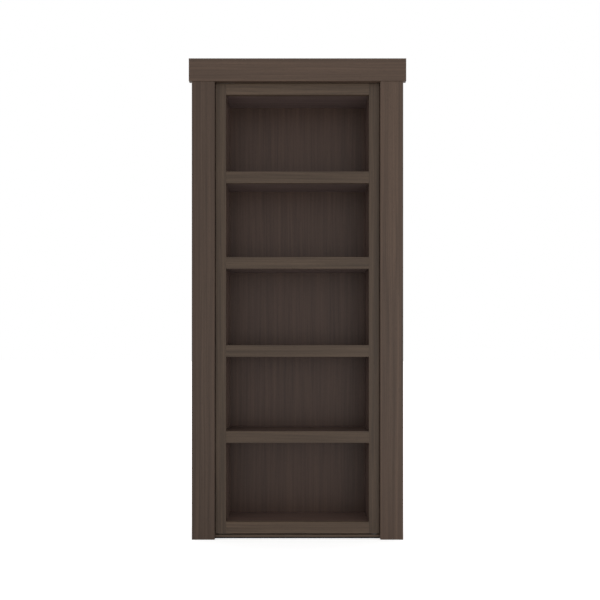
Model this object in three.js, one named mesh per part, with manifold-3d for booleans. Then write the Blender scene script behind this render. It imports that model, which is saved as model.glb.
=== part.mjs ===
import * as THREE from 'three';
import { mergeVertices } from 'three/addons/utils/BufferGeometryUtils.js';
import Module from 'manifold-3d';

// Hidden door bookcase: a face-framed bookcase that turns on a pivot inside a cased doorway.
// Millimetres. +X is right, +Y is into the wall, +Z is up. The floor is z = 0.
// The pieces are placed from the front plane of the bookcase, y = 0, which is also the back
// plane of the trim. The last lines move them all so that the origin is under their middle.

const wasm = await Module();
wasm.setup();

// Driving dimensions: the doorway and its trim
const openingWidth = 734;
const openingHeight = 2030;
const casingWidth = 101;
const casingThickness = 19;
const headHeight = 100;
const headThickness = 21;
const headOverhang = 13;
const jambThickness = 19;
const jambDepth = 167;
const sillThickness = 16;
const sillRebateHeight = 6.5;
const sillRebateDepth = 12;
const sealSetback = 1.5;

// Driving dimensions: the bookcase
const doorGap = 2;
const sillClearance = 6;
const frameThickness = 19;
const stileWidth = 46.5;
const topRailHeight = 50;
const bottomRailHeight = 52;
const boardThickness = 19;
const baseThickness = 19;
const backThickness = 9;

// Driving dimensions: the shelves, whose tops are shares of the height between the rails
const shelfThickness = 52;
const shelfTopSkin = 12;
const shelfUnderSkin = 6;
const cleatWidth = 22;
const shelfTopShares = [0.212, 0.4134, 0.6197, 0.82];

// Driving dimensions: the pivots
const pinRadius = 5;
const pinChamfer = 1;
const pinInset = 2;
const bushWall = 1.5;
const pivotFrontWall = 3.9;
const pivotSideWall = 6.9;
const plateThickness = 3;
const plateProud = 0.7;
const fixedPlateLength = 70;
const fixedPlateWidth = 38;
const doorPlateLength = 70;
const doorPlateWidth = 40;
const plateCorner = 6;
const washerLip = 3.2;

// Driving dimensions: the stops, the catch and the pull
const stopDepth = 19;
const headStopLap = 8;
const headStopFromPlate = 7;
const capToStop = 3.7;
const hingeStripDepth = 19;
const hingeStripGap = 3;
const strikeThickness = 1.6;
const strikeHeight = 10;
const strikeMargin = 1;
const catchLength = 50;
const catchDepth = 14;
const catchHeight = 14;
const catchFromLatch = 104;
const pullHeight = 1000;
const pullLength = 150;
const pullReach = 38;
const pullRadius = 5;
const pullBend = 14;
const footWidth = 16;
const footHeight = 34;
const footThickness = 4;

// Driving dimensions: the screws
const screwRadius = 2.2;
const screwHeadRadius = 4.4;
const screwHeadDepth = 2.6;
const screwTip = 3;
const plateScrewLength = 14;
const plateScrewSpacing = 50;
const pullScrewLength = 32;

// Clearances, and one overrun for every cut
const seam = 0.3;
const cornerClearance = 3;
const swingClearance = 3.5;
const overrun = 2;

// Steps round a turned shape, round a plate's corner, and along the pull
const roundSteps = 32;
const cornerSteps = 3;
const pullSides = 8;
const pullSteps = 36;

// Places that follow from the doorway
const doorHalf = openingWidth / 2 - doorGap;
const doorBottom = sillThickness + sillClearance;
const doorTop = openingHeight - doorGap;
const casingOuter = openingWidth / 2 + casingWidth;

// Places inside the bookcase
const cavityHalf = doorHalf - stileWidth;
const carcassHalf = cavityHalf + boardThickness;
const cavityBottom = doorBottom + bottomRailHeight;
const cavityTop = doorTop - topRailHeight;
const carcassFront = frameThickness + seam;
const backFront = jambDepth - backThickness;
const carcassBack = backFront - seam;
const baseTop = doorBottom + baseThickness;
const topPanelTop = cavityTop + boardThickness;
const capBottom = topPanelTop + seam;
const headStopBottom = doorTop - headStopLap;
const capTop = headStopBottom - capToStop;

// The pivot stands just inside the front hinge-side corner of the carcass
const bushInner = pinRadius + seam;
const bushOuter = bushInner + bushWall;
const boreRadius = bushOuter + seam;
const pivotX = -carcassHalf + pivotSideWall + boreRadius;
const pivotY = frameThickness + pivotFrontWall + boreRadius;
const pivotFromEdge = pivotX + doorHalf;

// The jambs stand back from the casing edges as far as the turning corner of the door needs
const cornerReach = Math.hypot(pivotFromEdge, pivotY);
const jambHalf = doorHalf + cornerReach - pivotFromEdge + cornerClearance;
const jambSetback = jambHalf - openingWidth / 2;
const headJambBottom = openingHeight + jambSetback;
const jambOuter = jambHalf + jambThickness;
const jambTop = headJambBottom + jambThickness;
const rearReach = Math.hypot(carcassHalf - pivotX, jambDepth - pivotY);
const latchStopFace = pivotX + rearReach + swingClearance;
const stopFront = frameThickness + seam + strikeThickness + seam + seam;
const stopBack = stopFront + stopDepth;

// Heights of the pivot hardware
const fixedPlateTop = sillThickness + seam + plateThickness;
const doorPlateUnderside = doorBottom - plateProud;
const topFixedPlateBottom = headJambBottom - seam - plateThickness;

// Turns a closed geometry into a solid, with shared corners and no flat triangles
function toSolid(geometry) {
  const bare = geometry.clone();
  bare.deleteAttribute('normal');
  bare.deleteAttribute('uv');
  const merged = mergeVertices(bare);
  const corners = Array.from(merged.index.array);
  const kept = [];
  for (let i = 0; i < corners.length; i += 3) {
    const [a, b, c] = corners.slice(i, i + 3);
    if (a !== b && b !== c && c !== a) kept.push(a, b, c);
  }
  const vertProperties = new Float32Array(merged.attributes.position.array);
  const triVerts = new Uint32Array(kept);
  return new wasm.Manifold(new wasm.Mesh({ numProp: 3, vertProperties, triVerts }));
}

// Turns a solid back into a geometry
function toGeometry(solid) {
  const mesh = solid.getMesh();
  const geometry = new THREE.BufferGeometry();
  const positions = new Float32Array(mesh.vertProperties);
  geometry.setAttribute('position', new THREE.BufferAttribute(positions, 3));
  geometry.setIndex(new THREE.BufferAttribute(new Uint32Array(mesh.triVerts), 1));
  geometry.computeVertexNormals();
  return geometry;
}

function joined(first, ...others) {
  let solid = toSolid(first);
  for (const other of others) solid = solid.add(toSolid(other));
  return toGeometry(solid);
}

function cut(body, ...cutters) {
  let solid = toSolid(body);
  for (const cutter of cutters) solid = solid.subtract(toSolid(cutter));
  return toGeometry(solid);
}

// A box given by its two ends along each axis
function block([x0, x1], [y0, y1], [z0, z1]) {
  const box = new THREE.BoxGeometry(x1 - x0, y1 - y0, z1 - z0);
  return box.translate((x0 + x1) / 2, (y0 + y1) / 2, (z0 + z1) / 2);
}

// A flat plate with round corners, given by its two ends along each axis
function plate([x0, x1], [y0, y1], [z0, z1]) {
  const outline = new THREE.Shape();
  outline.absarc(x1 - plateCorner, y1 - plateCorner, plateCorner, 0, Math.PI / 2);
  outline.absarc(x0 + plateCorner, y1 - plateCorner, plateCorner, Math.PI / 2, Math.PI);
  outline.absarc(x0 + plateCorner, y0 + plateCorner, plateCorner, Math.PI, Math.PI * 1.5);
  outline.absarc(x1 - plateCorner, y0 + plateCorner, plateCorner, Math.PI * 1.5, Math.PI * 2);
  const settings = { depth: z1 - z0, bevelEnabled: false, curveSegments: cornerSteps };
  return new THREE.ExtrudeGeometry(outline, settings).translate(0, 0, z0);
}

// An upright round rod
function rod(radius, x, y, [z0, z1]) {
  const cylinder = new THREE.CylinderGeometry(radius, radius, z1 - z0, roundSteps);
  return cylinder.rotateX(Math.PI / 2).translate(x, y, (z0 + z1) / 2);
}

// A countersunk screw along Z, its head's flat face at z = 0 and its tip below.
// The grown shape, with a clearance, is what cuts its hole.
function screwShape(length, clearance = 0) {
  const head = screwHeadRadius + clearance;
  const shank = screwRadius + clearance;
  const top = clearance > 0 ? overrun : 0;
  const profile = [
    new THREE.Vector2(0, -length - clearance),
    new THREE.Vector2(shank, -length + screwTip),
    new THREE.Vector2(shank, -screwHeadDepth),
    new THREE.Vector2(head, 0),
  ];
  if (top > 0) profile.push(new THREE.Vector2(head, top));
  profile.push(new THREE.Vector2(0, top));
  return new THREE.LatheGeometry(profile, roundSteps).rotateX(Math.PI / 2);
}

const wood = (color, roughness = 0.62) =>
  new THREE.MeshStandardMaterial({ color, roughness, metalness: 0 });
const rubber = (color) => new THREE.MeshStandardMaterial({ color, roughness: 0.85, metalness: 0 });
const steel = (color, roughness = 0.4) =>
  new THREE.MeshStandardMaterial({ color, roughness, metalness: 1 });

// The colours that the photograph shows
const trimBrown = 0x574941;
const frameBrown = 0x50463d;
const panelBrown = 0x3e342f;
const hiddenBrown = 0x463b34;
const steelGrey = 0x3a3733;
const darkSteel = 0x2c2a28;
const bronze = 0x8a6a45;
const rubberBlack = 0x161412;

const fixedFrame = new THREE.Group();
const door = new THREE.Group();

// Adds a named mesh, with its own origin at the middle of its geometry
function add(group, name, geometry, material) {
  geometry.computeBoundingBox();
  const centre = geometry.boundingBox.getCenter(new THREE.Vector3());
  geometry.translate(-centre.x, -centre.y, -centre.z);
  const mesh = new THREE.Mesh(geometry, material);
  mesh.name = name;
  mesh.position.copy(centre);
  group.add(mesh);
  return mesh;
}

// The cutters and screws of a pair of screws beside the pivot, heads down or heads up
function plateScrew(side, z, headUp, clearance = 0) {
  const screw = screwShape(plateScrewLength, clearance);
  if (!headUp) screw.rotateX(Math.PI);
  return screw.translate(pivotX + side * plateScrewSpacing / 2, pivotY, z);
}

// Trim: two casings standing on the floor and a thicker head board across their tops
function addTrim() {
  for (const [side, name] of [[-1, 'casing_left'], [1, 'casing_right']]) {
    const edges = [side * openingWidth / 2, side * casingOuter].sort((a, b) => a - b);
    add(fixedFrame, name, block(edges, [-casingThickness, 0], [0, openingHeight - seam]), wood(trimBrown));
  }
  const headHalf = casingOuter + headOverhang;
  const headSpan = [openingHeight, openingHeight + headHeight];
  add(fixedFrame, 'head_casing', block([-headHalf, headHalf], [-headThickness, 0], headSpan), wood(trimBrown));
}

// Jambs, head jamb and sill, with the holes of the pivot plates' screws. A rebate under the front
// edge of the sill holds a rubber seal that meets the flooring.
function addJambs() {
  const depth = [seam, jambDepth];
  const inner = jambHalf - seam;
  for (const [side, name] of [[-1, 'jamb_left'], [1, 'jamb_right']]) {
    const faces = [side * jambHalf, side * jambOuter].sort((a, b) => a - b);
    add(fixedFrame, name, block(faces, depth, [0, jambTop]), wood(hiddenBrown));
  }
  const topCuts = [-1, 1].map((side) => plateScrew(side, topFixedPlateBottom, false, seam));
  const headJamb = block([-inner, inner], depth, [headJambBottom, jambTop]);
  add(fixedFrame, 'head_jamb', cut(headJamb, ...topCuts), wood(hiddenBrown));
  const sillCuts = [-1, 1].map((side) => plateScrew(side, fixedPlateTop, true, seam));
  const sill = block([-inner, inner], depth, [0, sillThickness]);
  const rebate = block(
    [-inner - overrun, inner + overrun],
    [-overrun, seam + sillRebateDepth],
    [-overrun, sillRebateHeight],
  );
  add(fixedFrame, 'sill_plate', cut(sill, rebate, ...sillCuts), wood(frameBrown));
  const seal = block([-inner, inner], [seam + sealSetback, sillRebateDepth], [0, sillRebateHeight - seam]);
  add(fixedFrame, 'sill_seal', seal, rubber(rubberBlack));
}

// Stops behind the face frame, one down the latch side and one across the head, and a strip that
// closes the space between jamb and carcass at the back of the hinge side
function addStops() {
  const strip = block(
    [-jambHalf + seam, -carcassHalf - hingeStripGap],
    [jambDepth - hingeStripDepth, jambDepth],
    [sillThickness + seam, headJambBottom - seam],
  );
  add(fixedFrame, 'hinge_side_strip', strip, wood(hiddenBrown));

  const latch = block(
    [latchStopFace, jambHalf - seam],
    [stopFront, stopBack],
    [sillThickness + seam, headJambBottom - seam],
  );
  add(fixedFrame, 'latch_stop', latch, wood(hiddenBrown));

  const stopStart = pivotX + fixedPlateLength / 2 + headStopFromPlate;
  const head = block(
    [stopStart, latchStopFace - seam],
    [stopFront, stopBack],
    [headStopBottom, headJambBottom - seam],
  );
  const catchX = latchStopFace - catchFromLatch;
  const catchEnds = [catchX - catchLength / 2, catchX + catchLength / 2];
  const catchFace = stopFront - seam;
  const pocket = block(
    [catchEnds[0] - seam, catchEnds[1] + seam],
    [stopFront - overrun, catchFace + catchDepth + seam],
    [headStopBottom - overrun, headStopBottom + catchHeight + seam],
  );
  add(fixedFrame, 'head_stop', cut(head, pocket), wood(hiddenBrown));

  // The magnetic catch fills the pocket, and its strike is on the back of the top rail
  const body = block(
    catchEnds,
    [catchFace, catchFace + catchDepth],
    [headStopBottom, headStopBottom + catchHeight],
  );
  add(fixedFrame, 'magnet_catch', body, steel(darkSteel));
  const strikeTop = doorTop - strikeMargin;
  const strike = block(
    catchEnds,
    [frameThickness + seam, frameThickness + seam + strikeThickness],
    [strikeTop - strikeHeight, strikeTop],
  );
  add(door, 'catch_strike', strike, steel(steelGrey));
}

// A steel pin with a chamfered free end, at the top of its span or at the bottom
function pin([z0, z1], freeEndUp) {
  const length = z1 - z0;
  const profile = [
    new THREE.Vector2(0, 0),
    new THREE.Vector2(pinRadius, 0),
    new THREE.Vector2(pinRadius, length - pinChamfer),
    new THREE.Vector2(pinRadius - pinChamfer, length),
    new THREE.Vector2(0, length),
  ];
  const shape = new THREE.LatheGeometry(profile, roundSteps).rotateX(Math.PI / 2);
  if (!freeEndUp) shape.rotateX(Math.PI);
  return shape.translate(pivotX, pivotY, freeEndUp ? z0 : z1);
}

// An upright ring around the pivot axis
function ring(inner, outer, [z0, z1]) {
  const hole = rod(inner, pivotX, pivotY, [z0 - overrun, z1 + overrun]);
  return cut(rod(outer, pivotX, pivotY, [z0, z1]), hole);
}

// Pivots: plates and pins fixed to the sill and the head jamb, and the washer that takes the weight
function addFixedPivots() {
  const xSpan = [pivotX - fixedPlateLength / 2, pivotX + fixedPlateLength / 2];
  const ySpan = [pivotY - fixedPlateWidth / 2, pivotY + fixedPlateWidth / 2];
  const levels = [
    ['bottom', [sillThickness + seam, fixedPlateTop], fixedPlateTop, true],
    ['top', [topFixedPlateBottom, headJambBottom - seam], topFixedPlateBottom, false],
  ];
  for (const [level, zSpan, face, headUp] of levels) {
    const hole = rod(bushInner, pivotX, pivotY, [zSpan[0] - overrun, zSpan[1] + overrun]);
    const sinks = [-1, 1].map((side) => plateScrew(side, face, headUp, seam));
    const body = cut(plate(xSpan, ySpan, zSpan), hole, ...sinks);
    add(fixedFrame, `${level}_pivot_plate`, body, steel(steelGrey));
    for (const [side, sideName] of [[-1, 'outer'], [1, 'inner']]) {
      const name = `${level}_plate_screw_${sideName}`;
      add(fixedFrame, name, plateScrew(side, face, headUp), steel(steelGrey));
    }
  }
  const bottomPin = pin([sillThickness + seam, baseTop - pinInset], true);
  add(fixedFrame, 'bottom_pivot_pin', bottomPin, steel(steelGrey));
  const topPin = pin([capBottom + pinInset, headJambBottom - seam], false);
  add(fixedFrame, 'top_pivot_pin', topPin, steel(steelGrey));
  const washer = ring(bushInner, bushOuter + washerLip, [fixedPlateTop + seam, doorPlateUnderside - seam]);
  add(fixedFrame, 'thrust_washer', washer, steel(bronze));
}

// The door's own pivot plates, let into the corners of the base and the cap, and their bushes
function addDoorPivots() {
  const xSpan = [-carcassHalf + seam, -carcassHalf + seam + doorPlateLength];
  const ySpan = [carcassFront + seam, carcassFront + seam + doorPlateWidth];
  const levels = [
    ['bottom', [doorPlateUnderside, doorPlateUnderside + plateThickness], [doorPlateUnderside, baseTop]],
    ['top', [capTop - plateThickness, capTop], [capBottom, capTop]],
  ];
  for (const [level, zSpan, bushSpan] of levels) {
    const hole = rod(boreRadius, pivotX, pivotY, [zSpan[0] - overrun, zSpan[1] + overrun]);
    add(door, `door_${level}_plate`, cut(plate(xSpan, ySpan, zSpan), hole), steel(steelGrey));
    add(door, `${level}_bush`, ring(bushInner, bushOuter, bushSpan), steel(bronze));
  }
}

// The recess for one of the door's pivot plates, open at the corner of its board
function plateRecess(zSpan) {
  return block(
    [-carcassHalf - overrun, -carcassHalf + seam + doorPlateLength + seam],
    [carcassFront - overrun, carcassFront + seam + doorPlateWidth + seam],
    zSpan,
  );
}

// Face frame: two full-height stiles with the rails between them
function addFaceFrame() {
  const depth = [0, frameThickness];
  for (const [side, name] of [[-1, 'stile_left'], [1, 'stile_right']]) {
    const edges = [side * cavityHalf, side * doorHalf].sort((a, b) => a - b);
    add(door, name, block(edges, depth, [doorBottom, doorTop]), wood(frameBrown));
  }
  const between = [-cavityHalf + seam, cavityHalf - seam];
  add(door, 'top_rail', block(between, depth, [cavityTop, doorTop]), wood(frameBrown));
  add(door, 'bottom_rail', block(between, depth, [doorBottom, cavityBottom]), wood(frameBrown));
}

// The hole of one of the pull's screws, and the screw itself
function pullScrew(side, clearance = 0) {
  const screw = screwShape(pullScrewLength, clearance).rotateX(-Math.PI / 2);
  const middle = cavityHalf + boardThickness / 2;
  const z = pullHeight + side * (pullLength / 2 + footHeight / 4);
  return screw.translate(middle, jambDepth + seam + footThickness, z);
}

// Carcass: sides between a base and a cap, inner top and bottom panels, and the back over all
function addCarcass() {
  const depth = [carcassFront, carcassBack];
  const wide = [-carcassHalf, carcassHalf];
  const between = [-cavityHalf + seam, cavityHalf - seam];
  const pullCuts = [-1, 1].map((side) => pullScrew(side, seam));

  const sideSpan = [baseTop + seam, topPanelTop];
  const leftSide = block([-carcassHalf, -cavityHalf], depth, sideSpan);
  add(door, 'side_left', leftSide, wood(panelBrown));
  const rightSide = block([cavityHalf, carcassHalf], depth, sideSpan);
  add(door, 'side_right', cut(rightSide, ...pullCuts), wood(panelBrown));
  add(door, 'top_panel', block(between, depth, [cavityTop, topPanelTop]), wood(panelBrown));
  const bottomSpan = [cavityBottom - boardThickness, cavityBottom];
  add(door, 'bottom_panel', block(between, depth, bottomSpan), wood(panelBrown));

  const baseBore = rod(boreRadius, pivotX, pivotY, [doorBottom - overrun, baseTop + overrun]);
  const baseRecess = plateRecess([doorBottom - overrun, doorPlateUnderside + plateThickness + seam]);
  const base = block(wide, depth, [doorBottom, baseTop]);
  add(door, 'base_panel', cut(base, baseBore, baseRecess), wood(hiddenBrown));

  const capBore = rod(boreRadius, pivotX, pivotY, [capBottom - overrun, capTop + overrun]);
  const capRecess = plateRecess([capTop - plateThickness - seam, capTop + overrun]);
  const cap = block(wide, depth, [capBottom, capTop]);
  add(door, 'cap_panel', cut(cap, capBore, capRecess), wood(hiddenBrown));

  const back = block(wide, [backFront, jambDepth], [doorBottom, capTop]);
  add(door, 'back_panel', cut(back, ...pullCuts), wood(panelBrown));
}

// One shelf: a solid front edge, two skins behind it and a cleat inside each end
function addShelf(number, top) {
  const bottom = top - shelfThickness;
  const between = [-cavityHalf + seam, cavityHalf - seam];
  const depth = [carcassFront, carcassBack];
  const skinBottom = top - shelfTopSkin;
  const underTop = bottom + shelfUnderSkin;
  add(door, `shelf_${number}_nosing`, block(between, [0, frameThickness], [bottom, top]), wood(frameBrown));
  add(door, `shelf_${number}_top`, block(between, depth, [skinBottom, top]), wood(panelBrown));
  add(door, `shelf_${number}_underside`, block(between, depth, [bottom, underTop]), wood(panelBrown));
  const cleatSpan = [underTop + seam, skinBottom - seam];
  for (const [side, name] of [[-1, 'left'], [1, 'right']]) {
    const outer = cavityHalf - seam;
    const ends = [side * outer, side * (outer - cleatWidth)].sort((a, b) => a - b);
    add(door, `shelf_${number}_cleat_${name}`, block(ends, depth, cleatSpan), wood(hiddenBrown));
  }
}

// The pull on the hidden side: a round bar bent between two flat feet
function addPull() {
  const middle = cavityHalf + boardThickness / 2;
  const footFace = jambDepth + seam;
  const barY = jambDepth + pullReach - pullRadius;
  const rootY = footFace + footThickness / 2;
  const halfBar = pullLength / 2 - pullRadius;
  const at = (y, z) => new THREE.Vector3(middle, y, pullHeight + z);

  const route = new THREE.CurvePath();
  const low = at(barY, -halfBar);
  const high = at(barY, halfBar);
  route.add(new THREE.LineCurve3(at(rootY, -halfBar), at(barY - pullBend, -halfBar)));
  route.add(new THREE.QuadraticBezierCurve3(at(barY - pullBend, -halfBar), low, at(barY, pullBend - halfBar)));
  route.add(new THREE.LineCurve3(at(barY, pullBend - halfBar), at(barY, halfBar - pullBend)));
  route.add(new THREE.QuadraticBezierCurve3(at(barY, halfBar - pullBend), high, at(barY - pullBend, halfBar)));
  route.add(new THREE.LineCurve3(at(barY - pullBend, halfBar), at(rootY, halfBar)));

  const section = new THREE.Shape();
  section.absarc(0, 0, pullRadius, 0, Math.PI * 2);
  const bar = new THREE.ExtrudeGeometry(section, {
    steps: pullSteps,
    curveSegments: pullSides,
    extrudePath: route,
  });
  const feet = [-1, 1].map((side) => {
    const inner = side * (halfBar - pullRadius);
    const ends = [inner, inner + side * footHeight].sort((a, b) => a - b);
    return block(
      [middle - footWidth / 2, middle + footWidth / 2],
      [footFace, footFace + footThickness],
      [pullHeight + ends[0], pullHeight + ends[1]],
    );
  });
  const holes = [-1, 1].map((side) => pullScrew(side, seam));
  add(door, 'pull_handle', cut(joined(bar, ...feet), ...holes), steel(darkSteel));
  add(door, 'pull_screw_lower', pullScrew(-1), steel(darkSteel));
  add(door, 'pull_screw_upper', pullScrew(1), steel(darkSteel));
}

addTrim();
addJambs();
addStops();
addFixedPivots();
addFaceFrame();
addCarcass();
shelfTopShares.forEach((share, index) => {
  addShelf(index + 1, cavityBottom + share * (cavityTop - cavityBottom));
});
addDoorPivots();
addPull();

// The origin goes under the middle of the whole, from the head board's face to the pull
const assembly = new THREE.Group();
assembly.add(fixedFrame, door);
assembly.position.y = (headThickness - jambDepth - pullReach) / 2;

const bookcase = new THREE.Group();
bookcase.name = 'hidden_door_bookcase';
bookcase.add(assembly);

export default bookcase;
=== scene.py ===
import math

import bmesh
import bpy
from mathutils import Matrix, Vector


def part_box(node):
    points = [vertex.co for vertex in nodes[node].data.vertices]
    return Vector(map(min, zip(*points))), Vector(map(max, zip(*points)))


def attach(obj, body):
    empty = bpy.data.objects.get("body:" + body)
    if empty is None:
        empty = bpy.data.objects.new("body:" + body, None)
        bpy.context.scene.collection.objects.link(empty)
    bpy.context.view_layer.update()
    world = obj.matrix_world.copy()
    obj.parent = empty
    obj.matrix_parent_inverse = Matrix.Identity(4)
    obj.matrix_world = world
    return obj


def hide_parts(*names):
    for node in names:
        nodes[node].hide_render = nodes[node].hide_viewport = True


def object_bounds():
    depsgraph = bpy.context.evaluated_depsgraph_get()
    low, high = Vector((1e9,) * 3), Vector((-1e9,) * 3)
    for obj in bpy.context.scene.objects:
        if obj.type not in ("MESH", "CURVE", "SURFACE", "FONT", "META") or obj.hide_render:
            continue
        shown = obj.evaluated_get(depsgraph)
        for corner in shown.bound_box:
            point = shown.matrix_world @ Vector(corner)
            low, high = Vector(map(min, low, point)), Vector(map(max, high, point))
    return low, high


# Hidden door bookcase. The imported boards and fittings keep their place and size. This script gives
# them stained wood, metal and rubber, eases their edges, and adds the small fastenings.
# Metres. +X is right, +Y is into the wall, +Z is up.

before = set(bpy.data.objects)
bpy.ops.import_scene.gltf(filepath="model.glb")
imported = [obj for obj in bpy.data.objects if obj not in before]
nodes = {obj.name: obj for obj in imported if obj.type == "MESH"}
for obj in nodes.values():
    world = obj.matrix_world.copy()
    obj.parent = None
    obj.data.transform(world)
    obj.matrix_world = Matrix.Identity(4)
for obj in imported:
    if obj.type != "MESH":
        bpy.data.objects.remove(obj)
cad_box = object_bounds()

# The photograph's camera: level, in front of the middle, with the view shifted up and to the right
IMAGE_PIXELS = 600
FOCAL_PIXELS = 617
HORIZON_FROM_CENTRE_PIXELS = 45
MIDDLE_FROM_CENTRE_PIXELS = 2.5
SENSOR_WIDTH_MM = 36
CAMERA_DISTANCE = 2.750
CAMERA_HEIGHT = 0.862
CLIP_END = 200

# Stained wood, as linear colours. The stains seen from the front, their tones in board_style and the
# powers of the lamps were fitted to the photo's mean colours, so some stains and tones hold painted
# light and shade, as marked.
TRIM_STAIN = (0.084, 0.054, 0.038)
FRAME_STAIN = (0.078, 0.0525, 0.0355)
PANEL_STAIN = (0.085, 0.0545, 0.0445)
# The undersides' stain is less warm than the other panels': painted light, the whiter light thrown up
# from the floor.
UNDERSIDE_STAIN_WITH_PAINTED_LIGHT = (0.0795, 0.055, 0.0496)
# The back panel's stain is far darker than the other panels': painted shade at the back of the
# compartments.
BACK_STAIN_WITH_PAINTED_SHADE = (0.053, 0.0306, 0.0224)
HIDDEN_STAIN = (0.066, 0.042, 0.032)

# How strong the grain of a stain's boards is, and how far its streaks run, beside plain long stock
FIGURE = {
    TRIM_STAIN: (1.35, 1.0),
    FRAME_STAIN: (1.4, 0.35),
    PANEL_STAIN: (1.0, 0.35),
    UNDERSIDE_STAIN_WITH_PAINTED_LIGHT: (1.0, 0.35),
    BACK_STAIN_WITH_PAINTED_SHADE: (1.15, 0.35),
    HIDDEN_STAIN: (1.0, 1.0),
}

# The stretch of wood that these front boards are cut from. A search program picked each number, as the
# one whose run of tone across the board is nearest to the photo's, out of 30 for the trim and 48 for
# the others. Every other board takes the number of its place in the sorted list.
FRONT_SEEDS = {
    "head_casing": 6, "casing_left": 19, "casing_right": 10, "stile_left": 9, "stile_right": 38,
    "top_rail": 39, "bottom_rail": 34,
    "shelf_1_nosing": 47, "shelf_3_nosing": 33, "shelf_4_nosing": 14,
}

# The figure of the wood, from coarse to fine: noise scales with the grain along Z, and each one's
# share in the tone
CLOUD_SCALE = (9, 9, 0.9)
BAND_SCALE = (75, 75, 0.55)
LINE_SCALE = (260, 260, 1.3)
FIBRE_SCALE = (900, 900, 9)
PORE_SCALE = (1500, 1500, 45)
CLOUD_SHARE = 0.30
BAND_SHARE = 1.15
LINE_SHARE = 0.70
FIBRE_SHARE = 0.30
FIGURE_ROUGHNESS = 0.6
LOG_STEP = (1.37, 0.83, 2.11)
WANDER_SCALE = 1.6
WANDER_REACH = (0.014, 0.014, 0.0)

# Tones of the stain at the darkest and lightest grain and in the pores, how far the pores take it
# up, and the values of their noise between which they begin and are full
DARK_TONE = 0.66
LIGHT_TONE = 1.36
PORE_TONE = 0.42
PORE_COVER = 0.55
PORE_RANGE = (0.60, 0.72)

# The wood's surface
BOARD_ROUGHNESS = 0.50
EDGE_ROUGHNESS = 0.44
FIBRE_SHEEN = 0.16
PORE_HEIGHT = -0.8
LINE_HEIGHT = 0.6
WOOD_BUMP = (0.35, 0.0003)
WOOD_SPECULAR = 0.25

# Metal and rubber: noise scales, tones, spread of the roughness, bump distances
SPECKLE_SCALE = (400, 400, 400)
BRUSHED_SCALE = (900, 60, 900)
SMEAR_SCALE = (60, 60, 60)
SMEAR_TONES = (0.78, 1.16)
SPECKLE_SHEEN = 0.18
METAL_BUMP_DISTANCE = 0.0001
PEBBLE_SCALE = (2600, 2600, 2600)
DUST_SCALE = (240, 240, 240)
DUST_TONE = 1.9
DUST_SHEEN = 0.15
RUBBER_ROUGHNESS = 0.70
RUBBER_BUMP = (0.5, 0.0002)
RUBBER_SPECULAR = 0.1

# How much the edges of each kind of piece are eased, how much lighter a board's eased edge is, as
# rubbed wear and as a painted highlight, and which edges count as sharp
TRIM_EASING = 0.0006
FRAME_EASING = 0.0005
PANEL_EASING = 0.0004
METAL_EASING = 0.0003
EASING_STEPS = 3
WELD_DISTANCE = 0.00001
EDGE_WEAR_AND_HIGHLIGHT_LIFT = 1.22
SHARP_EDGE = math.radians(40)
SMOOTH_BELOW = math.radians(32)

# Cross recesses, as shares of the head's radius, and the steps round a screw or a dome
ROUND_STEPS = 28
CROSS_HALF_WIDTH = 0.16
CROSS_HALF_LENGTH = 0.58
CROSS_TAPER = 0.62

# The rings of a countersunk screw
HEAD_FLAT_SHARE = 0.94
HEAD_FLAT_DROP = 0.0002
HEAD_DEPTH = 0.0026
HEAD_CROSS_DEPTH = 0.0016
SHANK_SHARE = 0.5
TIP_LENGTH = 0.003
TIP_SHARE = 0.1

# The low pan heads of the back panel and of the door's plates
PAN_RADIUS = 0.0036
PAN_RISE = 0.0007
PAN_CROSS_DEPTH = PAN_RISE * 0.8
PAN_HEAD = [
    (PAN_RADIUS * 0.72, PAN_RISE), (PAN_RADIUS * 0.93, PAN_RISE * 0.72),
    (PAN_RADIUS, PAN_RISE * 0.3), (PAN_RADIUS, 0),
]
DOOR_PLATE_SCREW_SHARES = (0.55, 0.86)
BACK_SCREW_ROWS = 9
BACK_SCREW_INSET = 0.0095
BACK_SCREW_FIRST = 0.036
SHELF_SCREW_SHARES = (-0.5, 0.0, 0.5)

# The domes on the latch stop, and the magnetic catch
BUMPER_RADIUS = 0.0034
BUMPER_THICKNESS = 0.0018
BUMPER_TOP_SHARE = 0.55
BUMPER_RINGS = 6
BUMPER_SHARES = (0.15, 0.5, 0.85)
CASE_EASING = 0.0012
POLE_EASING = 0.0002
POLE_THICKNESS = 0.0016
POLE_PROUD = 0.0004
POLE_INSET = 0.004
POLE_SHARES = (0.3, 0.7)

# Light: the share of white that the world gives where it is not looked at, the floor with its own
# glow where it is looked at, and the soft lamps with their place, aim, size and power
WORLD_LIGHT = 0.80
FLOOR_GLOW = 0.56
FLOOR_COLOUR = (0.86, 0.86, 0.86, 1)
FLOOR_SIZE = 60
FLOOR_DROP = 0.0005
LAMPS = (
    ("key", (3.2, -4.4, 1.0), (0, 0, 1.0), (4.0, 1.8), 30),
    ("front_fill", (0.4, -5.0, 1.1), (0, 0, 1.1), (1.2, 1.8), 6.4),
    ("floor_bounce", (0, -2.8, 0.03), (0, -2.801, 3), (4.4, 1.8), 12),
)


# Small helpers for shader trees

def shader_tree(name):
    """A new material with one principled shader, and its node tree."""
    material = bpy.data.materials.new(name)
    material.use_nodes = True
    tree = material.node_tree
    return material, tree, tree.nodes["Principled BSDF"]


def add_node(tree, kind, **values):
    node = tree.nodes.new(kind)
    for name, value in values.items():
        setattr(node, name, value)
    return node


def math_node(tree, operation, first, second, third=None):
    node = add_node(tree, "ShaderNodeMath", operation=operation)
    for socket, value in zip(node.inputs, (first, second, third)):
        if value is None:
            continue
        if isinstance(value, (int, float)):
            socket.default_value = value
        else:
            tree.links.new(value, socket)
    return node.outputs[0]


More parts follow.
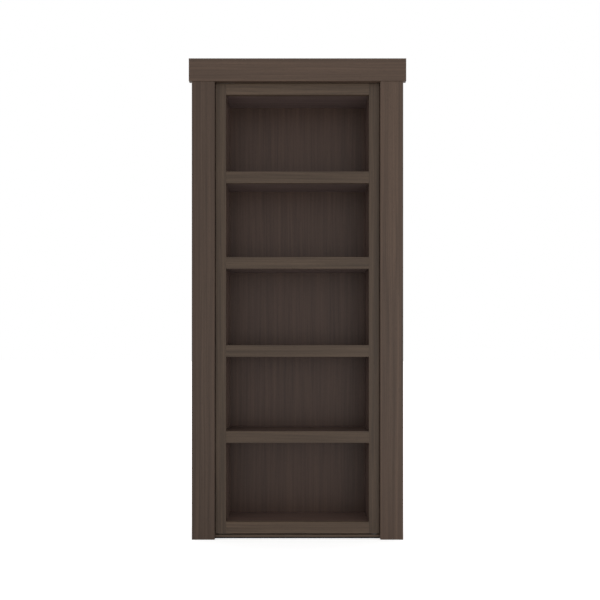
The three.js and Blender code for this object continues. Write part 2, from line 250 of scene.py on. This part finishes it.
def map_range(tree, value, low, high):
    """The value's place between low and high, from 0 to 1."""
    node = add_node(tree, "ShaderNodeMapRange")
    node.inputs["From Min"].default_value = low
    node.inputs["From Max"].default_value = high
    tree.links.new(value, node.inputs["Value"])
    return node.outputs["Result"]


def mix_colour(tree, share, first, second):
    """A mix of two colours, each a socket or three numbers."""
    node = add_node(tree, "ShaderNodeMix", data_type="RGBA")
    tree.links.new(share, node.inputs["Factor"])
    for socket, colour in ((node.inputs["A"], first), (node.inputs["B"], second)):
        if isinstance(colour, tuple):
            socket.default_value = (*colour, 1)
        else:
            tree.links.new(colour, socket)
    return node.outputs["Result"]


def scaled(colour, share):
    return tuple(channel * share for channel in colour)


def drawn_out(scale, run):
    """A noise scale whose streaks are run times as long along the grain."""
    return (scale[0], scale[1], scale[2] / run)


def stretched_noise(tree, vector, scale, detail=2.0, roughness=0.5):
    """Noise stretched by a scale along each axis, from 0 to 1."""
    mapping = add_node(tree, "ShaderNodeMapping")
    mapping.inputs["Scale"].default_value = scale
    tree.links.new(vector, mapping.inputs["Vector"])
    noise = add_node(tree, "ShaderNodeTexNoise")
    noise.inputs["Scale"].default_value = 1.0
    noise.inputs["Detail"].default_value = detail
    noise.inputs["Roughness"].default_value = roughness
    tree.links.new(mapping.outputs["Vector"], noise.inputs["Vector"])
    return noise.outputs["Fac"]


def bump(tree, shader, height, strength, distance):
    node = add_node(tree, "ShaderNodeBump")
    node.inputs["Strength"].default_value = strength
    node.inputs["Distance"].default_value = distance
    tree.links.new(height, node.inputs["Height"])
    tree.links.new(node.outputs["Normal"], shader.inputs["Normal"])


# Materials

# The turn that brings each grain direction onto the texture's Z
GRAIN_TURN = {"x": (0, math.pi / 2, 0), "y": (math.pi / 2, 0, 0), "z": (0, 0, 0)}


def wood(name, stain, grain, seed, figure, roughness):
    """Dark stained wood with fine straight grain along one axis.

    The seed moves the board in the log.
    """
    contrast, run = figure
    material, tree, shader = shader_tree(name)
    coordinates = add_node(tree, "ShaderNodeTexCoord")
    turned = add_node(tree, "ShaderNodeMapping")
    turned.inputs["Rotation"].default_value = GRAIN_TURN[grain]
    turned.inputs["Location"].default_value = scaled(LOG_STEP, seed)
    tree.links.new(coordinates.outputs["Object"], turned.inputs["Vector"])

    # A slow wander of a few millimetres keeps the grain from running dead straight
    wander = add_node(tree, "ShaderNodeTexNoise")
    wander.inputs["Scale"].default_value = WANDER_SCALE
    wander.inputs["Detail"].default_value = 1.0
    tree.links.new(turned.outputs["Vector"], wander.inputs["Vector"])
    offset = add_node(tree, "ShaderNodeVectorMath", operation="MULTIPLY_ADD")
    offset.inputs[1].default_value = WANDER_REACH
    tree.links.new(wander.outputs["Color"], offset.inputs[0])
    tree.links.new(turned.outputs["Vector"], offset.inputs[2])
    along = offset.outputs["Vector"]

    # Broad clouds of stain, growth bands, grain lines and fibres, from coarse to fine
    cloud = stretched_noise(tree, along, CLOUD_SCALE)
    band = stretched_noise(tree, along, drawn_out(BAND_SCALE, run), roughness=FIGURE_ROUGHNESS)
    line = stretched_noise(tree, along, drawn_out(LINE_SCALE, run), roughness=FIGURE_ROUGHNESS)
    fibre = stretched_noise(tree, along, FIBRE_SCALE, roughness=FIGURE_ROUGHNESS)
    pore = stretched_noise(tree, along, PORE_SCALE, detail=1.0)
    spread = CLOUD_SHARE * contrast
    tone = math_node(tree, "MULTIPLY_ADD", cloud, spread, 0.5 - spread / 2)
    for source, share in ((band, BAND_SHARE), (line, LINE_SHARE), (fibre, FIBRE_SHARE)):
        centred = math_node(tree, "SUBTRACT", source, 0.5)
        tone = math_node(tree, "MULTIPLY_ADD", centred, share * contrast, tone)
    stained = mix_colour(tree, tone, scaled(stain, DARK_TONE), scaled(stain, LIGHT_TONE))

    # Open pores hold more stain
    pore_depth = map_range(tree, pore, *PORE_RANGE)
    pore_share = math_node(tree, "MULTIPLY", pore_depth, PORE_COVER)
    pored = mix_colour(tree, pore_share, stained, scaled(stain, PORE_TONE))
    tree.links.new(pored, shader.inputs["Base Color"])

    sheen = math_node(tree, "MULTIPLY_ADD", fibre, FIBRE_SHEEN, roughness - FIBRE_SHEEN / 2)
    tree.links.new(sheen, shader.inputs["Roughness"])
    height = math_node(tree, "MULTIPLY_ADD", pore_depth, PORE_HEIGHT, fibre)
    height = math_node(tree, "MULTIPLY_ADD", line, LINE_HEIGHT, height)
    bump(tree, shader, height, *WOOD_BUMP)
    shader.inputs["Specular IOR Level"].default_value = WOOD_SPECULAR
    return material


def metal(name, colour, metallic, roughness, grit, speckle_scale=SPECKLE_SCALE):
    """Metal or a metal's paint, with fine unevenness in its gloss and its surface."""
    material, tree, shader = shader_tree(name)
    coordinates = add_node(tree, "ShaderNodeTexCoord")
    place = coordinates.outputs["Object"]
    speckle = stretched_noise(tree, place, speckle_scale, detail=3.0, roughness=0.6)
    smear = stretched_noise(tree, place, SMEAR_SCALE)
    dark, light = SMEAR_TONES
    shade = mix_colour(tree, smear, scaled(colour, dark), scaled(colour, light))
    tree.links.new(shade, shader.inputs["Base Color"])
    gloss = math_node(tree, "MULTIPLY_ADD", speckle, SPECKLE_SHEEN, roughness - SPECKLE_SHEEN / 2)
    tree.links.new(gloss, shader.inputs["Roughness"])
    bump(tree, shader, speckle, grit, METAL_BUMP_DISTANCE)
    shader.inputs["Metallic"].default_value = metallic
    return material


def rubber(name, colour):
    """Matt rubber with a fine pebble and a dusting that lightens it unevenly."""
    material, tree, shader = shader_tree(name)
    coordinates = add_node(tree, "ShaderNodeTexCoord")
    place = coordinates.outputs["Object"]
    pebble = stretched_noise(tree, place, PEBBLE_SCALE)
    dust = stretched_noise(tree, place, DUST_SCALE, detail=3.0)
    shade = mix_colour(tree, dust, colour, scaled(colour, DUST_TONE))
    tree.links.new(shade, shader.inputs["Base Color"])
    matt = math_node(tree, "MULTIPLY_ADD", dust, DUST_SHEEN, RUBBER_ROUGHNESS)
    tree.links.new(matt, shader.inputs["Roughness"])
    bump(tree, shader, pebble, *RUBBER_BUMP)
    shader.inputs["Specular IOR Level"].default_value = RUBBER_SPECULAR
    return material


dark_steel = metal(
    "dark_steel", (0.075, 0.066, 0.058), metallic=1.0, roughness=0.42, grit=0.15,
    speckle_scale=BRUSHED_SCALE,
)
black_metal = metal("black_metal", (0.022, 0.020, 0.018), metallic=0.0, roughness=0.42, grit=0.30)
bronze = metal("bush_bronze", (0.46, 0.30, 0.14), metallic=1.0, roughness=0.38, grit=0.12)
# Very dark rubber. On the sill seal it also paints the shadow line under the sill.
black_rubber_and_painted_shade = rubber("seal_rubber", (0.009, 0.008, 0.007))


# Boards

def board_style(name):
    """(stain, grain direction, tone beside the others, easing) of a board's node. Some tones paint
    light or shade, as marked.
    """
    if name == "head_casing":
        return TRIM_STAIN, "x", 0.985, TRIM_EASING
    if name == "casing_left":
        return TRIM_STAIN, "z", 0.76, TRIM_EASING
    if name == "casing_right":
        return TRIM_STAIN, "z", 0.985, TRIM_EASING
    if name.startswith("stile"):
        return FRAME_STAIN, "z", 0.862, FRAME_EASING
    # The rails are made lighter: painted light that lifts the shade falling on them, as under the head
    # board.
    if name.endswith("rail"):
        return FRAME_STAIN, "x", 1.10, FRAME_EASING
    if name.endswith("nosing"):
        return FRAME_STAIN, "x", 0.885, FRAME_EASING
    if name == "sill_plate":
        return FRAME_STAIN, "x", 1.10, FRAME_EASING
    # The back panel is darkened by its stain: painted shade.
    if name == "back_panel":
        return BACK_STAIN_WITH_PAINTED_SHADE, "z", 0.95, PANEL_EASING
    if name == "side_left":
        return PANEL_STAIN, "z", 1.07, PANEL_EASING
    if name == "side_right":
        return PANEL_STAIN, "z", 1.03, PANEL_EASING
    # The undersides and the top panel are made lighter by their tone: painted light from below.
    if name.endswith("_underside") or name == "top_panel":
        return UNDERSIDE_STAIN_WITH_PAINTED_LIGHT, "x", 1.34, PANEL_EASING
    # The bottom panel's top is made lighter and the shelves' tops darker, all of one stain: painted
    # light and painted shade on these upward faces.
    if name == "bottom_panel":
        return PANEL_STAIN, "x", 1.18, PANEL_EASING
    if name.endswith("_top"):
        return PANEL_STAIN, "x", 0.79, PANEL_EASING
    # These strips, seen in the gaps beside the door, are made lighter: painted light in the gaps.
    if name in ("latch_stop", "hinge_side_strip"):
        return HIDDEN_STAIN, "z", 1.4, FRAME_EASING
    if name.startswith("jamb"):
        return HIDDEN_STAIN, "z", 1.0, FRAME_EASING
    if "cleat" in name:
        return HIDDEN_STAIN, "y", 1.0, PANEL_EASING
    return HIDDEN_STAIN, "x", 1.0, FRAME_EASING


FITTING_NODES = {
    "bottom_pivot_plate": dark_steel, "top_pivot_plate": dark_steel,
    "door_bottom_plate": dark_steel, "door_top_plate": dark_steel,
    "bottom_pivot_pin": dark_steel, "top_pivot_pin": dark_steel,
    "catch_strike": dark_steel, "thrust_washer": bronze,
    "top_bush": bronze, "bottom_bush": bronze, "pull_handle": black_metal,
    # The black sill seal stands where the shadow line under the sill is: a seal and painted shade.
    "sill_seal": black_rubber_and_painted_shade,
}
CROSS_HEAD_NODES = {
    "bottom_plate_screw_outer": dark_steel, "bottom_plate_screw_inner": dark_steel,
    "top_plate_screw_outer": dark_steel, "top_plate_screw_inner": dark_steel,
    "pull_screw_lower": black_metal, "pull_screw_upper": black_metal,
}
CATCH_NODE = "magnet_catch"


def shading_group(name, smooth):
    """Geometry nodes that drop stored normals and shade faces flat, or smooth at gentle edges."""
    group = bpy.data.node_groups.new(name, "GeometryNodeTree")
    group.interface.new_socket("Geometry", in_out="INPUT", socket_type="NodeSocketGeometry")
    group.interface.new_socket("Geometry", in_out="OUTPUT", socket_type="NodeSocketGeometry")
    start = add_node(group, "NodeGroupInput")
    end = add_node(group, "NodeGroupOutput")
    bare = add_node(group, "GeometryNodeRemoveAttribute")
    bare.inputs["Name"].default_value = "custom_normal"
    faces = add_node(group, "GeometryNodeSetShadeSmooth", domain="FACE")
    faces.inputs["Shade Smooth"].default_value = smooth
    edges = add_node(group, "GeometryNodeSetShadeSmooth", domain="EDGE")
    edges.inputs["Shade Smooth"].default_value = False
    angle = add_node(group, "GeometryNodeInputMeshEdgeAngle")
    sharp = add_node(group, "FunctionNodeCompare", data_type="FLOAT", operation="GREATER_THAN")
    sharp.inputs["B"].default_value = SMOOTH_BELOW
    group.links.new(angle.outputs["Unsigned Angle"], sharp.inputs["A"])
    group.links.new(sharp.outputs["Result"], edges.inputs["Selection"])
    group.links.new(start.outputs["Geometry"], bare.inputs["Geometry"])
    group.links.new(bare.outputs["Geometry"], faces.inputs["Geometry"])
    group.links.new(faces.outputs["Geometry"], edges.inputs["Geometry"])
    group.links.new(edges.outputs["Geometry"], end.inputs["Geometry"])
    return group


flat_faces = shading_group("flat_faces", False)
smooth_faces = shading_group("smooth_faces", True)


def ease_edges(piece, width, shading, edge_slot=0):
    """Welds the shared corners of a CAD node, rounds its sharp edges and sets its shading."""
    weld = piece.modifiers.new("weld", "WELD")
    weld.merge_threshold = WELD_DISTANCE
    bevel = piece.modifiers.new("easing", "BEVEL")
    bevel.width = width
    bevel.segments = EASING_STEPS
    bevel.limit_method = "ANGLE"
    bevel.angle_limit = SHARP_EDGE
    bevel.material = edge_slot
    piece.modifiers.new("shading", "NODES").node_group = shading


def dress_boards():
    """Gives each board its own stretch of wood and its eased edges, lighter as slightly rubbed wear
    and as a painted highlight.
    """
    fittings = {*FITTING_NODES, *CROSS_HEAD_NODES, CATCH_NODE}
    boards = sorted(name for name in nodes if name not in fittings)
    for index, name in enumerate(boards):
        piece = nodes[name]
        stain, grain, tone, easing = board_style(name)
        seed = FRONT_SEEDS.get(name, index + 1)
        figure = FIGURE[stain]
        face_stain = scaled(stain, tone)
        # The eased edge is lighter, as rubbed wear and as a painted highlight.
        worn_highlit_edge_stain = scaled(stain, tone * EDGE_WEAR_AND_HIGHLIGHT_LIFT)
        face = wood(f"wood_{name}", face_stain, grain, seed, figure, BOARD_ROUGHNESS)
        edge = wood(f"edge_{name}", worn_highlit_edge_stain, grain, seed, figure, EDGE_ROUGHNESS)
        piece.data.materials.clear()
        piece.data.materials.append(face)
        piece.data.materials.append(edge)
        ease_edges(piece, easing, flat_faces, 1)


def dress_fittings():
    for name, material in FITTING_NODES.items():
        piece = nodes[name]
        piece.data.materials.clear()
        piece.data.materials.append(material)
        ease_edges(piece, METAL_EASING, smooth_faces)


# Small fastenings, built here

def finish_piece(name, mesh, material, body):
    """Links a finished bmesh as a named piece that rides on a body."""
    data = bpy.data.meshes.new(name)
    bmesh.ops.recalc_face_normals(mesh, faces=mesh.faces)
    mesh.to_mesh(data)
    mesh.free()
    data.materials.append(material)
    piece = bpy.data.objects.new(name, data)
    bpy.context.scene.collection.objects.link(piece)
    piece.modifiers.new("shading", "NODES").node_group = smooth_faces
    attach(piece, body)
    return piece


def ring_of(mesh, radius, height, turn, place):
    """A ring of corners round the turned Z axis at a height."""
    corners = []
    for step in range(ROUND_STEPS):
        angle = 2 * math.pi * step / ROUND_STEPS
        point = Vector((radius * math.cos(angle), radius * math.sin(angle), height))
        corners.append(mesh.verts.new(place + turn @ point))
    return corners


def cross_of(mesh, radius, share, height, turn, place):
    """The twelve corners of a cross, sized by the head's radius and a share of its full size."""
    width = CROSS_HALF_WIDTH * radius * share
    length = CROSS_HALF_LENGTH * radius * share
    corners = []
    for quarter in range(4):
        angle = quarter * math.pi / 2
        for x, y in ((width, width), (width, length), (-width, length)):
            point = Vector((
                x * math.cos(angle) - y * math.sin(angle),
                x * math.sin(angle) + y * math.cos(angle),
                height,
            ))
            corners.append(mesh.verts.new(place + turn @ point))
    return corners


def bridge(mesh, first, second):
    """A band of faces between two loops with the same number of corners."""
    count = len(first)
    for index in range(count):
        after = (index + 1) % count
        mesh.faces.new((first[index], first[after], second[after], second[index]))


def loop_edges(mesh, corners):
    count = len(corners)
    edges = []
    for index in range(count):
        pair = (corners[index], corners[(index + 1) % count])
        edges.append(mesh.edges.get(pair) or mesh.edges.new(pair))
    return edges


def turned_screw(mesh, profile, recess, place, axis):
    """Adds a screw of (radius, height) rings, top first, with a cross recess in its top face."""
    turn = Vector((0, 0, 1)).rotation_difference(Vector(axis)).to_matrix()
    place = Vector(place)
    rings = [ring_of(mesh, radius, height, turn, place) for radius, height in profile]
    for first, second in zip(rings, rings[1:]):
        bridge(mesh, first, second)
    mesh.faces.new(rings[-1])
    top_radius, top = profile[0]
    mouth = cross_of(mesh, top_radius, 1.0, top, turn, place)
    floor = cross_of(mesh, top_radius, CROSS_TAPER, top - recess, turn, place)
    bridge(mesh, mouth, floor)
    bmesh.ops.triangle_fill(mesh, edges=loop_edges(mesh, floor), use_beauty=True)
    rim = loop_edges(mesh, rings[0]) + loop_edges(mesh, mouth)
    bmesh.ops.triangle_fill(mesh, edges=rim, use_beauty=True)


def countersunk(length, head):
    """The rings of a countersunk screw whose flat face is at height 0."""
    shank = head * SHANK_SHARE
    return [
        (head * HEAD_FLAT_SHARE, 0), (head, -HEAD_FLAT_DROP), (shank, -HEAD_DEPTH),
        (shank, TIP_LENGTH - length), (shank * TIP_SHARE, -length),
    ]


def replace_cad_screws():
    """The CAD screws again, with cross recesses, each in its own place."""
    for name, material in CROSS_HEAD_NODES.items():
        low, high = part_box(name)
        middle = (low + high) / 2
        if name.startswith("pull"):
            axis, place, length = (0, 1, 0), (middle.x, high.y, middle.z), high.y - low.y
        elif name.startswith("bottom"):
            axis, place, length = (0, 0, 1), (middle.x, middle.y, high.z), high.z - low.z
        else:
            axis, place, length = (0, 0, -1), (middle.x, middle.y, low.z), high.z - low.z
        mesh = bmesh.new()
        head = (high.x - low.x) / 2
        turned_screw(mesh, countersunk(length, head), HEAD_CROSS_DEPTH, place, axis)
        body = "door" if name.startswith("pull") else "frame"
        piece = finish_piece(f"{name}_cross_head", mesh, material, body)
        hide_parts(name)


def door_plate_screws():
    """Two low screw heads on the open face of each of the door's pivot plates."""
    for level, side in (("bottom", -1), ("top", 1)):
        low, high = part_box(f"door_{level}_plate")
        face = low.z if side < 0 else high.z
        mesh = bmesh.new()
        for share in DOOR_PLATE_SCREW_SHARES:
            place = (low.x + share * (high.x - low.x), (low.y + high.y) / 2, face)
            turned_screw(mesh, PAN_HEAD, PAN_CROSS_DEPTH, place, (0, 0, side))
        finish_piece(f"door_{level}_plate_screws", mesh, dark_steel, "door")


def back_panel_screws():
    """Rows of low screw heads that hold the back panel to sides, base, cap and shelves."""
    low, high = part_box("back_panel")
    mesh = bmesh.new()
    places = []
    reach = high.x - BACK_SCREW_INSET
    first = low.z + BACK_SCREW_FIRST
    last = high.z - BACK_SCREW_FIRST
    for row in range(BACK_SCREW_ROWS):
        height = first + (last - first) * row / (BACK_SCREW_ROWS - 1)
        places.extend(((-reach, height), (reach, height)))
    levels = [low.z + BACK_SCREW_INSET, high.z - BACK_SCREW_INSET]
    for number in range(1, 5):
        skin_low, skin_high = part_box(f"shelf_{number}_top")
        levels.append((skin_low.z + skin_high.z) / 2)
    for height in levels:
        places.extend((share * reach, height) for share in SHELF_SCREW_SHARES)
    for x, height in places:
        turned_screw(mesh, PAN_HEAD, PAN_CROSS_DEPTH, (x, high.y, height), (0, 1, 0))
    finish_piece("back_panel_screws", mesh, dark_steel, "door")


def stop_bumpers():
    """Low rubber domes on the latch stop, where the closed bookcase meets it."""
    low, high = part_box("latch_stop")
    stile_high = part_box("stile_right")[1]
    x = (low.x + stile_high.x) / 2
    turn = Vector((0, 0, 1)).rotation_difference(Vector((0, -1, 0))).to_matrix()
    mesh = bmesh.new()
    for share in BUMPER_SHARES:
        place = Vector((x, low.y, low.z + share * (high.z - low.z)))
        rings = []
        for step in range(BUMPER_RINGS + 1):
            angle = step / BUMPER_RINGS * math.pi / 2
            radius = BUMPER_RADIUS * (BUMPER_TOP_SHARE + (1 - BUMPER_TOP_SHARE) * math.cos(angle))
            height = BUMPER_THICKNESS * math.sin(angle)
            rings.append(ring_of(mesh, radius, height, turn, place))
        for first, second in zip(rings, rings[1:]):
            bridge(mesh, first, second)
        mesh.faces.new(rings[0])
        mesh.faces.new(rings[-1])
    finish_piece("latch_stop_bumpers", mesh, black_rubber_and_painted_shade, "frame")


def eased_box(mesh, low, high, easing):
    """Adds a box with rounded edges, given by its lowest and highest corners."""
    made = bmesh.ops.create_cube(mesh, size=1)
    size = high - low
    middle = (low + high) / 2
    for corner in made["verts"]:
        corner.co = Vector([corner.co[i] * size[i] + middle[i] for i in range(3)])
    edges = {edge for corner in made["verts"] for edge in corner.link_edges}
    bmesh.ops.bevel(
        mesh, geom=list(edges), offset=easing, segments=EASING_STEPS, profile=0.5, affect="EDGES"
    )


def magnetic_catch():
    """The catch as a moulded case with two steel pole strips that stand level with the CAD face."""
    low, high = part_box(CATCH_NODE)
    mesh = bmesh.new()
    eased_box(mesh, low + Vector((0, POLE_PROUD, 0)), high, CASE_EASING)
    case = finish_piece("magnet_catch_case", mesh, black_metal, "frame")
    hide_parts(CATCH_NODE)
    mesh = bmesh.new()
    for share in POLE_SHARES:
        height = low.z + share * (high.z - low.z)
        strip_low = Vector((low.x + POLE_INSET, low.y, height - POLE_THICKNESS / 2))
        strip_high = Vector((high.x - POLE_INSET, high.y - POLE_INSET, height + POLE_THICKNESS / 2))
        eased_box(mesh, strip_low, strip_high, POLE_EASING)
    finish_piece("magnet_catch_poles", mesh, dark_steel, "frame")


dress_boards()
dress_fittings()
replace_cad_screws()
door_plate_screws()
back_panel_screws()
stop_bumpers()
magnetic_catch()


# Stage: a white floor that keeps the object's shadow, a white world behind, and soft lamps

def looked_at(tree):
    """One where a ray comes from the camera, a reflection or glass, and zero elsewhere."""
    path = add_node(tree, "ShaderNodeLightPath")
    seen = math_node(tree, "MAXIMUM", path.outputs["Is Camera Ray"], path.outputs["Is Glossy Ray"])
    return math_node(tree, "MAXIMUM", seen, path.outputs["Is Transmission Ray"])


def white_floor():
    """A plain floor just under the object. Its glow only shows where it is looked at."""
    height = cad_box[0].z - FLOOR_DROP
    bpy.ops.mesh.primitive_plane_add(size=FLOOR_SIZE, location=(0, 0, height))
    floor = bpy.context.object
    floor.name = "floor"
    material, tree, shader = shader_tree("floor_white")
    shader.inputs["Base Color"].default_value = FLOOR_COLOUR
    shader.inputs["Roughness"].default_value = 1.0
    shader.inputs["Specular IOR Level"].default_value = 0.0
    glow = add_node(tree, "ShaderNodeEmission")
    strength = math_node(tree, "MULTIPLY", looked_at(tree), FLOOR_GLOW)
    tree.links.new(strength, glow.inputs["Strength"])
    both = add_node(tree, "ShaderNodeAddShader")
    tree.links.new(shader.outputs[0], both.inputs[0])
    tree.links.new(glow.outputs[0], both.inputs[1])
    tree.links.new(both.outputs[0], tree.nodes["Material Output"].inputs["Surface"])
    floor.data.materials.append(material)


def white_world():
    """The world is white where it is looked at, and a plain soft light elsewhere."""
    world = bpy.data.worlds.new("studio")
    bpy.context.scene.world = world
    world.use_nodes = True
    tree = world.node_tree
    background = tree.nodes["Background"]
    background.inputs["Color"].default_value = (1, 1, 1, 1)
    strength = math_node(tree, "MULTIPLY_ADD", looked_at(tree), 1 - WORLD_LIGHT, WORLD_LIGHT)
    tree.links.new(strength, background.inputs["Strength"])


def soft_light(name, place, target, size, watts):
    """A rectangular lamp that lights the object and is not seen itself."""
    lamp = bpy.data.lights.new(name, "AREA")
    lamp.shape = "RECTANGLE"
    lamp.size, lamp.size_y = size
    lamp.energy = watts
    light = bpy.data.objects.new(name, lamp)
    light.location = place
    aim = Vector(target) - Vector(place)
    light.rotation_euler = aim.to_track_quat("-Z", "Y").to_euler()
    light.visible_camera = False
    bpy.context.scene.collection.objects.link(light)


def photo_camera():
    camera = bpy.data.cameras.new("camera")
    camera.sensor_width = SENSOR_WIDTH_MM
    camera.lens = FOCAL_PIXELS / IMAGE_PIXELS * SENSOR_WIDTH_MM
    camera.shift_x = MIDDLE_FROM_CENTRE_PIXELS / IMAGE_PIXELS
    camera.shift_y = HORIZON_FROM_CENTRE_PIXELS / IMAGE_PIXELS
    camera.clip_end = CLIP_END
    holder = bpy.data.objects.new("camera", camera)
    face_frame_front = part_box("stile_left")[0].y
    holder.location = (0, face_frame_front - CAMERA_DISTANCE, CAMERA_HEIGHT)
    holder.rotation_euler = (math.pi / 2, 0, 0)
    bpy.context.scene.collection.objects.link(holder)
    bpy.context.scene.camera = holder


white_floor()
white_world()
for lamp_values in LAMPS:
    soft_light(*lamp_values)
photo_camera()
bpy.context.scene.view_settings.view_transform = "Standard"
